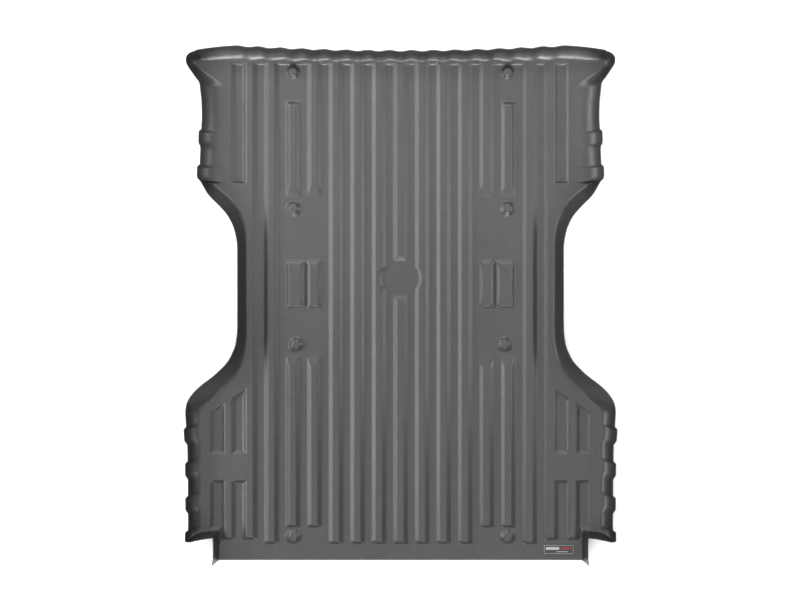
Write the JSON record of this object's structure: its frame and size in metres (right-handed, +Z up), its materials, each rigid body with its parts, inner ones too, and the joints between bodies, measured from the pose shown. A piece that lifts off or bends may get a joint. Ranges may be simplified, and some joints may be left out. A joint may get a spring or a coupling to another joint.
{
  "type": "truck bed liner",
  "caption": "One-piece moulded liner that lies in a pickup bed: ribbed floor, low wall on three sides, notches for wheel housings and rear pillars, open at the tailgate.",
  "frame": {"origin": "middle of the box that holds the liner, on the surface that it lies on", "axes": "+X to the right, +Y towards the front wall (the bulkhead end), +Z up"},
  "size_m": [1.72, 2.0704, 0.085],
  "materials": {
    "liner_rubber": "satin moulded texture",
    "badge_black": "gloss",
    "badge_light": "gloss",
    "badge_red": "gloss",
    "badge_adhesive": "matt foam"
  },
  "bodies": {
    "root": {"liner": "liner_rubber", "badge_plate": "badge_black", "badge_light_mark": "badge_light", "badge_red_mark": "badge_red", "badge_adhesive_pad": "badge_adhesive"}
  },
  "joints": []
}
